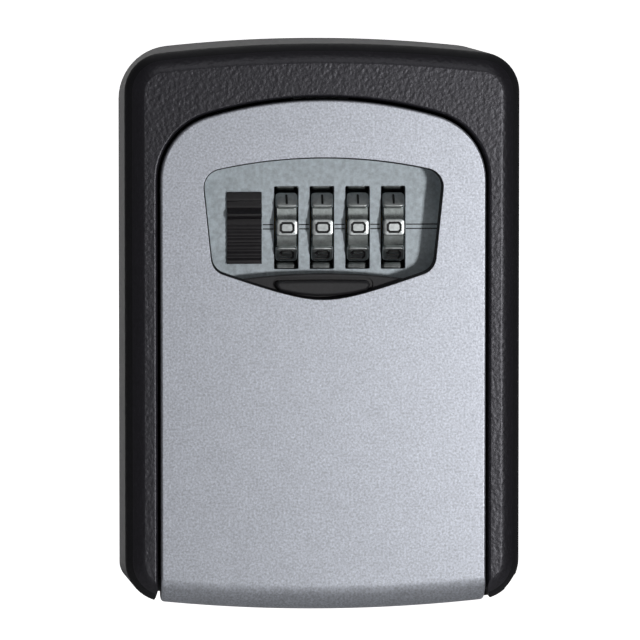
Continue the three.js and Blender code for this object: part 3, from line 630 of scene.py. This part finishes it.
def make_housing():
    body = housing_blank()
    cavity_front, floor = RIM_DEPTH + FLANGE, DEPTH - BACK_WALL
    cavity = pillow("cavity", lambda inset=0.0: housing_outline(WALL + inset), cavity_front, floor, 0, 1.5)
    opening = flared_cutter(opening_outline, RIM_DEPTH, PIN_DEPTH, LIP_ROUND, 8)
    opening_half = DOOR_HALF + DOOR_GAP
    pin = (0, PIN_DEPTH, PIN_Z)
    barrel_room = rod("room", "X", BARREL + 0.6, -opening_half, opening_half, pin, sides=96)
    carve(body, [cavity, opening, barrel_room])
    bosses = []
    for side in SIDES:
        outer = side * (HALF_WIDTH - WALL + 0.5)
        x0, x1 = sorted((side * opening_half, outer))
        boss = block("boss", x0, x1, RIM_DEPTH + 1.2, 11, BOTTOM + 1, PIN_Z + 5)
        bosses.append(carve(boss, [housing_blank(0.5)], "INTERSECT"))
    strike = block("strike", -14, 14, 4.6, 10, DOOR_TOP + DOOR_GAP, TOP - WALL + 0.8, 0.3)
    pads = []
    holes = []
    for side in SIDES:
        foot = [(opening_half - 0.3, -56.0), (opening_half + 0.05, -56.0), (opening_half + 0.25, -56.8)]
        foot += [(opening_half + 0.5, -57.6), (opening_half + 0.85, -58.5), (opening_half - 0.3, -61.5)]
        tip = [(side * x, z) for x, z in foot]
        holes.append(loft("tip", [flat_loop(tip, RIM_DEPTH - 1), flat_loop(tip, PIN_DEPTH + BARREL)]))
        relief = [(5, -56.6), (32, -58.6), (32, -62), (5, -62)]
        x0, x1 = sorted((side * (opening_half - 1.9), side * (opening_half + 0.1)))
        holes.append(prism("relief", x0, x1, relief))
    for sx in SIDES:
        for sz in SIDES:
            centre = (WALL_HOLE["x"] * sx, 0, WALL_HOLE["z"] * sz)
            pad_front = floor - WALL_HOLE["pad_height"]
            pads.append(rod("pad", "Y", WALL_HOLE["pad_radius"], pad_front, DEPTH - 1, centre, 0.25))
            holes.append(rod("hole", "Y", WALL_HOLE["radius"], floor - 3, DEPTH + 1, centre, sides=40))
    reach, wide, rib_front = BACK_RIBS["half_length"], BACK_RIBS["half_width"], floor - BACK_RIBS["height"]
    ribs = [
        block("rib", -reach, reach, rib_front, DEPTH - 1, z - wide, z + wide, 0.2)
        for z in BACK_RIBS["z"]
    ]
    join(body, bosses + [strike] + pads + ribs)
    pin_hole = rod("pin_hole", "X", PIN_HOLE_RADIUS, PIN_HOLE_BLIND_END, HALF_WIDTH + 1, pin, sides=32)
    carve(body, holes + [pin_hole])
    set_materials(body, [GLOSS_BLACK, TEXTURED_BLACK])
    rim_y = (FRONT + RIM_DEPTH) * MM
    for face in body.data.polygons:
        on_rim = face.normal.y < RIM_FACING and abs(face.center.y - rim_y) < RIM_BAND * MM
        face.material_index = 1 if on_rim else 0
    smooth(body)
    dress(body, "housing", "housing")


# ---------------------------------------------------------------- door


def barrel_lift(depth):
    """How far the bottom edge of the door stands above its lowest point at a depth."""
    reach = min(max(BARREL - depth, 0), BARREL)
    lift = BARREL - math.sqrt(BARREL**2 - reach**2)
    if depth > BARREL:
        lift = BARREL - math.sqrt(BARREL**2 - (depth - BARREL) ** 2)
    return lift


def make_door():
    edge = DOOR_EDGE
    depths = [edge * (1 - math.cos(step / 6 * math.pi / 2)) for step in range(7)]
    depths += [edge + (BARREL - edge) * step / 12 for step in range(1, 13)]
    depths += [BARREL + (SKIRT_BACK - BARREL) * step / 6 for step in range(1, 7)]
    sections = []
    for depth in depths:
        inset = edge - math.sqrt(edge**2 - (edge - depth) ** 2) if depth < edge else 0
        points = door_outline(inset, bottom_lift=barrel_lift(depth) - inset)
        sections.append(flat_loop(points, depth))
    body = loft("door_skin", sections)
    pocket = pillow("pocket", pocket_outline, DOOR_SKIN, DEPTH, 0.5)
    barrel_pocket = block("barrel_pocket", -24, 24, DOOR_SKIN, 15, BOTTOM + DOOR_SKIN, PIN_Z + BARREL + 1)
    drafted = (*WINDOW_DRAFT, (DOOR_SKIN, 0.3))
    window_loops = [flat_loop(window_outline(-0.3), -1), flat_loop(window_outline(-0.3), -0.02)]
    window_loops += [flat_loop(window_outline(inset), depth) for depth, inset in drafted]
    window_loops.append(flat_loop(window_outline(0.3), DOOR_SKIN + 1))
    window = loft("window", window_loops)
    bore = rod("bore", "X", DOOR_BORE, -DOOR_HALF - 1, DOOR_HALF + 1, (0, PIN_DEPTH, PIN_Z), sides=40)
    carve(body, [pocket, barrel_pocket, window, bore])
    additions = []
    holes = []
    for side in SIDES:
        x0, x1 = sorted((side * 27.4, side * 28.6))
        additions.append(block("rail", x0, x1, DOOR_SKIN - 0.5, 5.2, -21, 37.5, 0.2))
        for x, z, back in DOOR_POSTS:
            additions.append(rod("post", "Y", POST_RADIUS, DOOR_SKIN - 1, back, (side * x, 0, z), 0.2, 40))
            holes.append(rod("hole", "Y", POST_HOLE, DOOR_SKIN + 1.2, DEPTH, (side * x, 0, z), sides=24))
    for z in STIFFENER_Z:
        additions.append(block("stiffener", -30, 30, DOOR_SKIN - 0.5, 4.2, z - 0.6, z + 0.6, 0.2))
    join(body, additions)
    carve(body, holes)
    set_materials(body, [SILVER, GLOSS_BLACK])
    # Painted shade: the side wall of the window takes the black finish, so it reads as a dark line of shade
    # around the window.
    for face in body.data.polygons:
        x, depth, z = face.center.x / MM, face.center.y / MM - FRONT, face.center.z / MM
        in_window = abs(x) < WINDOW_REACH and 0 < z < plate_high.z + 1 and depth < DOOR_SKIN + 0.05
        face.material_index = 1 if in_window and abs(face.normal.y) < 0.8 else 0
    smooth(body)
    dress(body, "door", "door_cover")


# ---------------------------------------------------------------- dial plate


def make_plate():
    rim = pillow("plate_dish", lambda inset=0.0: plate_outline(inset - 1.5), PLATE_RIM, PLATE_BACK, 0.3, 0.2)
    dish = pillow("dish", lambda inset=0.0: plate_outline(inset - 0.2), PLATE_RIM - 1, PLATE_FLOOR, 0, 0.4)
    tools = [dish]
    for x in DIAL_X:
        half_w = SLOT_WIDTH / 2
        slot = rounded_rectangle(x - half_w, x + half_w, SLOT_BOTTOM, SLOT_TOP, 0.25)
        tools.append(flared_cutter(slot, PLATE_FLOOR, PLATE_BACK + 1, 0.12, 3))
        centre = (0, AXIS_DEPTH, AXIS_Z)
        tools.append(rod("sweep", "X", DIAL_SWEEP, x - half_w, x + half_w, centre, sides=80))
    x0, x1 = BUTTON_X - SHANK_SLOT_HALF, BUTTON_X + SHANK_SLOT_HALF
    tools.append(block("shank_slot", x0, x1, PLATE_FLOOR - 1, 11, 13.6, 27.2))
    carve(rim, tools)
    grooves = []
    edges = [button_high.x + 0.25]
    for x in DIAL_X:
        edges += [x - SLOT_WIDTH / 2 - 0.15, x + SLOT_WIDTH / 2 + 0.15]
    edges.append(window_outline()[0][0] - 0.2)
    half = INDEX_LINE_WIDTH / 2
    for x0, x1 in zip(edges[::2], edges[1::2]):
        for sign in SIDES:
            z = AXIS_Z + sign * INDEX_LINE_SPREAD
            front, back = PLATE_FLOOR - 0.5, PLATE_FLOOR + 0.18
            grooves.append(block("line", x0, x1, front, back, z - half, z + half))
    for tool in grooves:
        finish_all(tool, [PLATE, INK], INK)
    set_materials(rim, [PLATE, INK])
    carve(rim, grooves)
    smooth(rim)
    dress(rim, "door", "dial_faceplate")


# ---------------------------------------------------------------- dials

PAD_TOP = 10.1
PAD_HALF_TALL = 1.78
PAD_HALF_WIDE = DIAL_WIDTH / 2 - 0.08
PAD_DOME = 0.05
CORE_RADIUS = 9.4
KEYWAY_FROM = 1.1
KEYWAY_REACH = 4.8
KEYWAY_HALF = 1.2
DIGIT_HALF_WIDE = 1.36
DIGIT_HALF_TALL = 0.98
STROKE = 0.25
# (distance past the nearer end, half width) along a stroke, both in units of STROKE
STROKE_SECTIONS = ((-1, 0.35), (-0.75, 0.75), (-0.3, 1), (0.3, 1), (0.75, 0.75), (1, 0.35))
PAD_FOOT = 8.6
PAD_CORNER = 0.75
PAD_EDGE = 0.24
DOME_REACH = 1.5
DIAL_BORE = 3.4
KEYWAY_FLOOR = 2
DRUM_SIDES = 100
DRUM_CHAMFER_DEEP = 0.35
DRUM_CHAMFER_WIDE = 0.3

A, B = DIGIT_HALF_WIDE, DIGIT_HALF_TALL
C = 0.42
DIGIT_STROKES = {
    0: [
        [(-A + C, B), (A - C, B), (A, B - C), (A, -B + C), (A - C, -B)]
        + [(-A + C, -B), (-A, -B + C), (-A, B - C), (-A + C, B)]
    ],
    1: [[(0, B), (0, -B)]],
    2: [
        [(-A, B), (A - C, B), (A, B - C), (A, C / 2), (A - C, 0)]
        + [(-A + C, 0), (-A, -C / 2), (-A, -B), (A, -B)]
    ],
    3: [
        [(-A, B), (A - C, B), (A, B - C), (A - C, 0), (A, -B + C), (A - C, -B), (-A, -B)],
        [(-A / 2, 0), (A - C, 0)],
    ],
    4: [[(-A, B), (-A, 0), (A, 0)], [(A / 2, B), (A / 2, -B)]],
    5: [[(A, B), (-A, B), (-A, 0), (A - C, 0), (A, -C), (A, -B + C), (A - C, -B), (-A, -B)]],
    6: [
        [(A, B), (-A + C, B), (-A, B - C), (-A, -B + C), (-A + C, -B)]
        + [(A - C, -B), (A, -B + C), (A, -C / 2), (A - C, 0), (-A, 0)]
    ],
    7: [[(-A, B), (A, B), (0, -B)]],
    8: [
        [(-A + C, B), (A - C, B), (A, B - C), (A - C, 0), (A, -B + C), (A - C, -B)]
        + [(-A + C, -B), (-A, -B + C), (-A + C, 0), (-A, B - C), (-A + C, B)],
        [(-A + C, 0), (A - C, 0)],
    ],
    9: [
        [(A, 0), (-A + C, 0), (-A, C), (-A, B - C), (-A + C, B)]
        + [(A - C, B), (A, B - C), (A, -B + C), (A - C, -B), (-A, -B)]
    ],
}


def pad_matrix(number):
    """Local axes of the pad for a digit: X across, Y outward from the dial, Z up the dial's face."""
    turn = Matrix.Rotation(-number * 2 * math.pi / 10, 4, "X")
    outward = Matrix(((1, 0, 0, 0), (0, -1, 0, 0), (0, 0, 1, 0), (0, 0, 0, 1)))
    return turn @ outward


def pad_solid(number):
    outline = rounded_rectangle(-PAD_HALF_WIDE, PAD_HALF_WIDE, -PAD_HALF_TALL, PAD_HALF_TALL, PAD_CORNER)
    heights = [(0, PAD_FOOT)]
    for step in range(5):
        turn = step / 4 * math.pi / 2
        drop = PAD_EDGE * (1 - math.sin(turn))
        heights.append((PAD_EDGE * (1 - math.cos(turn)), PAD_TOP - PAD_DOME - drop))
    for step in range(1, 6):
        inset = PAD_EDGE + (DOME_REACH - PAD_EDGE) * step / 5
        heights.append((inset, PAD_TOP - PAD_DOME * (1 - step / 5) ** 2))
    matrix = pad_matrix(number)
    loops = []
    for inset, height in heights:
        loops.append([matrix @ (Vector((x, height, z)) * MM) for x, z in outline(inset)])
    return loft("pad", loops)


def stroke_solids(number):
    """Round-bottomed engraving cutters for one digit."""
    matrix = pad_matrix(number)
    made = []
    for line in DIGIT_STROKES[number]:
        for (x0, z0), (x1, z1) in zip(line, line[1:]):
            start = Vector((x0, PAD_TOP + 0.02, z0))
            end = Vector((x1, PAD_TOP + 0.02, z1))
            along = (end - start).normalized()
            side = along.cross(Vector((0, 1, 0))).normalized()
            loops = []
            for step, (offset, scale) in enumerate(STROKE_SECTIONS):
                base = start if step < 3 else end
                centre = base + along * offset * STROKE
                ring = []
                for k in range(10):
                    turn = 2 * math.pi * k / 10
                    spoke = side * math.cos(turn) + Vector((0, 1, 0)) * math.sin(turn)
                    ring.append(matrix @ ((centre + spoke * STROKE * scale) * MM))
                loops.append(ring)
            made.append(loft("stroke", loops))
    return made


def finish_dial(piece, material):
    finish_all(piece, [SHADE_DARKENED_CHROME, LIT_PAD_CHROME, INK], material)


def make_dial_mesh():
    """One dial about its own centre, digit 0 facing the front, a round drum between its pads."""
    loops = []
    half = DIAL_WIDTH / 2
    flat = half - DRUM_CHAMFER_WIDE
    for x, shrink in ((-half, DRUM_CHAMFER_DEEP), (-flat, 0), (flat, 0), (half, DRUM_CHAMFER_DEEP)):
        loop = []
        for k in range(DRUM_SIDES):
            turn = 2 * math.pi * k / DRUM_SIDES
            radius = CORE_RADIUS - shrink
            loop.append(Vector((x, -radius * math.cos(turn), radius * math.sin(turn))) * MM)
        loops.append(loop)
    wheel = loft("dial", loops)
    finish_dial(wheel, SHADE_DARKENED_CHROME)
    pads = [pad_solid(number) for number in range(10)]
    for pad in pads:
        finish_dial(pad, LIT_PAD_CHROME)
    join(wheel, pads)
    bore_loops = []
    for x in (-half - 1, half + 1):
        turns = [2 * math.pi * k / 48 for k in range(48)]
        ring = [(DIAL_BORE * math.cos(turn), DIAL_BORE * math.sin(turn)) for turn in turns]
        bore_loops.append([Vector((x, y, z)) * MM for y, z in ring])
    keyway_section = [(KEYWAY_FLOOR, -KEYWAY_HALF), (KEYWAY_REACH, -KEYWAY_HALF)]
    keyway_section += [(KEYWAY_REACH, KEYWAY_HALF), (KEYWAY_FLOOR, KEYWAY_HALF)]
    keyway_ends = (KEYWAY_FROM, half + 1)
    keyway = loft("keyway", [[Vector((x, y, z)) * MM for y, z in keyway_section] for x in keyway_ends])
    hollows = [loft("bore", bore_loops), keyway]
    for hollow in hollows:
        finish_dial(hollow, SHADE_DARKENED_CHROME)
    carve(wheel, hollows)
    strokes = []
    for number in range(10):
        strokes += stroke_solids(number)
    for tool in strokes:
        finish_dial(tool, INK)
    carve(wheel, strokes)
    smooth(wheel, angle=28)
    return wheel


def make_dials():
    pattern = make_dial_mesh()
    for number, x in enumerate(DIAL_X, start=1):
        wheel = pattern.copy()
        wheel.data = pattern.data.copy()
        wheel.name = f"dial_wheel_{number}"
        bpy.context.scene.collection.objects.link(wheel)
        wheel.data.transform(Matrix.Translation(place(x, AXIS_DEPTH, AXIS_Z)))
        dress(wheel, f"dial_{number}", f"dial_{number}")
    bpy.data.objects.remove(pattern)


# ---------------------------------------------------------------- button and shutter


def button_profile():
    """Side view in depth and Z: plain bands above, a thumb ridge, fine ribs below."""
    top, bottom = button_high.z, button_low.z
    crest = button_low.y - FRONT
    face, hollow, back = BUTTON_FACE, BUTTON_FACE + 0.25, 8.1
    points = [(back, top), (hollow, top)]
    for band in range(2):
        z = top - 1.6 - band * 1.5
        points += [(face, z + 0.3), (face, z - 0.2), (hollow, z - 0.4)]
    ridge = top - 4.1
    points += [(crest + 0.2, ridge - 0.3), (crest, ridge - 0.5), (crest, ridge - 0.9)]
    points += [(crest + 0.2, ridge - 1.15), (hollow, ridge - 1.7)]
    for rib in range(6):
        z = ridge - 2.5 - rib * RIB_PITCH
        points += [(face - 0.02, z - 0.05), (face - 0.06, z - 0.2), (face - 0.02, z - 0.35)]
        points += [(hollow, z - RIB_PITCH * 0.55), (hollow + 0.02, z - RIB_PITCH * 0.8)]
    points += [(face + 0.1, bottom), (back, bottom)]
    return points


def make_button():
    half = (button_high.x - button_low.x) / 2
    cap = prism("button_cap", BUTTON_X - half, BUTTON_X + half, button_profile())
    bevel_edges(cap, 0.07 * MM, 40)
    settle(cap)
    x0, x1 = BUTTON_X - SHANK["half"], BUTTON_X + SHANK["half"]
    low, high = SHANK["low"], SHANK["high"]
    shank = block("shank", x0, x1, SHANK["front"], SHANK["back"], low, high, SHANK["rounding"])
    join(cap, [shank])
    smooth(cap, angle=40)
    set_materials(cap, [BLACK_PLASTIC])
    dress(cap, "latch", "open_button")


def make_shutter():
    sheet = pillow("shutter_slide", shutter_outline, SHUTTER_FRONT, SHUTTER_BACK, 0.35, 0.2)
    moat_front, moat_floor = SHUTTER_FRONT - 1, SHUTTER_FRONT + 0.5
    moat = pillow("moat", lambda inset=0.0: grip_outline(inset - MOAT_WIDTH), moat_front, moat_floor)
    finish_all(sheet, [GREY_PLASTIC, BLACK_PLASTIC], GREY_PLASTIC)
    # Painted shade: the moat around the grip is black plastic against the grey sheet, standing for the shade
    # in the groove.
    finish_all(moat, [GREY_PLASTIC, BLACK_PLASTIC], BLACK_PLASTIC)
    carve(sheet, [moat])
    grip = pillow("grip", grip_outline, shutter_low.y - FRONT, SHUTTER_FRONT + 0.6, 0.75, front_deep=1.2)
    finish_all(grip, [GREY_PLASTIC, BLACK_PLASTIC], GREY_PLASTIC)
    join(sheet, [grip])
    smooth(sheet)
    dress(sheet, "shutter", "shutter")


make_housing()
make_door()
make_plate()
make_dials()
make_button()
make_shutter()


# ---------------------------------------------------------------- CAD nodes that stay


def soften(node):
    """Joins up the facets and rounds the sharp edges a little, without moving the piece."""
    low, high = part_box(node.name)
    weld = node.modifiers.new("weld", "WELD")
    weld.merge_threshold = 0.002 * MM
    clean = node.modifiers.new("clean", "DECIMATE")
    clean.decimate_type = "DISSOLVE"
    clean.angle_limit = math.radians(0.5)
    bevel_edges(node, min(0.18 * MM, 0.1 * min(high - low)), 40)
    weigh = node.modifiers.new("weigh", "WEIGHTED_NORMAL")
    weigh.keep_sharp = True


KEPT = {
    ZINC: ["lock_case", "mechanism_cover", "latch_plate"],
    BRASS: ["reset_lever"] + [f"cam_{n}" for n in range(1, 5)],
    BLACK_PLASTIC: ["door_liner"],
    BLACK_OXIDE: ["hinge_pin"],
    STEEL: ["dial_shaft", "detent_spring", "shutter_click_spring", "reset_spring"]
    + [f"{kind}_{n}" for kind in ("shaft_clip", "button_rivet", "latch_spring") for n in (1, 2)]
    + [f"{kind}_screw_{n}" for kind in ("case", "cover", "liner") for n in range(1, 5)],
}
for material, names in KEPT.items():
    for name in names:
        node = frame["nodes"][name]
        set_materials(node, [material])
        soften(node)


def squeeze(spring):
    """Gives the spring a mesh of its own."""
    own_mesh(frame["nodes"][spring])


for number in (1, 2):
    squeeze(f"latch_spring_{number}")
squeeze("reset_spring")


# ---------------------------------------------------------------- studio

# light powers in watts, and the world's strength
KEY = 1.37
OVERHEAD = 1.3
BOUNCE = 0.3
FILL = 0.03
RIM_LIGHT = 3.0
WORLD = 0.08

CAMERA_AZIMUTH = math.radians(-3.68)
CAMERA_ELEVATION = math.radians(4.27)
CAMERA_DISTANCE = 1.5
FOCAL_PIXELS = 6985.0
FRAME_PIXELS = 640.0
SENSOR = 36.0
AIM_RIGHT_PIXELS = 2.35
AIM_UP_PIXELS = 0.95


def area_light(name, position, target, width, height, power):
    data = bpy.data.lights.new(name, "AREA")
    data.shape = "RECTANGLE"
    data.size = width
    data.size_y = height
    data.energy = power
    light = bpy.data.objects.new(name, data)
    light.location = position
    light.visible_camera = False
    light.rotation_euler = (Vector(target) - Vector(position)).to_track_quat("-Z", "Y").to_euler()
    bpy.context.scene.collection.objects.link(light)


def make_stage():
    """Pale floor, and a bright backdrop standing well behind the object."""
    floor = block("studio_floor", -4000, 4000, -3500, 2600, -440, -420)
    floor_paint = Finish("studio_floor", (0.62, 0.62, 0.62), 0.0, 0.8)
    floor_paint.mottle(floor_paint.noise(300, 2), 0.3, 0.7, 0.99, 1.01)
    floor.data.materials.append(floor_paint.material)
    backdrop = block("studio_backdrop", -2000, 2000, 2500, 2520, -600, 1400)
    glow = Finish("studio_backdrop", (0.9, 0.9, 0.9), 0.0, 0.9, Emission_Strength=1.0)
    glow.shader.inputs["Emission Color"].default_value = (1, 1, 1, 1)
    glow.mottle(glow.noise(300, 2), 0.3, 0.7, 0.99, 1.01)
    backdrop.data.materials.append(glow.material)


def make_world():
    world = bpy.data.worlds.new("studio")
    world.use_nodes = True
    world.node_tree.nodes["Background"].inputs["Color"].default_value = (1, 1, 1, 1)
    world.node_tree.nodes["Background"].inputs["Strength"].default_value = WORLD
    bpy.context.scene.world = world


def make_camera():
    level = math.cos(CAMERA_ELEVATION)
    across, toward = math.sin(CAMERA_AZIMUTH) * level, -math.cos(CAMERA_AZIMUTH) * level
    back = Vector((across, toward, math.sin(CAMERA_ELEVATION)))
    data = bpy.data.cameras.new("camera")
    data.sensor_width = SENSOR
    data.lens = FOCAL_PIXELS / FRAME_PIXELS * SENSOR
    camera = bpy.data.objects.new("camera", data)
    rotation = (-back).to_track_quat("-Z", "Y")
    right = rotation @ Vector((1, 0, 0))
    up = rotation @ Vector((0, 1, 0))
    metres_per_pixel = CAMERA_DISTANCE / FOCAL_PIXELS
    aim = Vector((0, FRONT / 2 * MM, 0))
    aim += right * AIM_RIGHT_PIXELS * metres_per_pixel + up * AIM_UP_PIXELS * metres_per_pixel
    camera.location = aim + back * CAMERA_DISTANCE
    camera.rotation_euler = rotation.to_euler()
    bpy.context.scene.collection.objects.link(camera)
    bpy.context.scene.camera = camera


make_stage()
make_world()
make_camera()
area_light("key", (0.27, -0.695, -0.04), (0, -0.02, 0), 0.057, 0.057, KEY)
area_light("overhead", (0.05, -1.0, 0.86), (0, 0, 0.02), 0.9, 0.5, OVERHEAD)
area_light("bounce", (0.05, -0.66, -0.4), (0, 0, 0), 0.9, 0.24, BOUNCE)
area_light("fill", (-0.95, -0.55, 0.05), (0, 0, 0), 0.8, 0.8, FILL)
area_light("rim", (0, 0.9, 1.2), (0, 0, 0), 0.9, 0.9, RIM_LIGHT)
bpy.context.scene.view_settings.view_transform = "Standard"
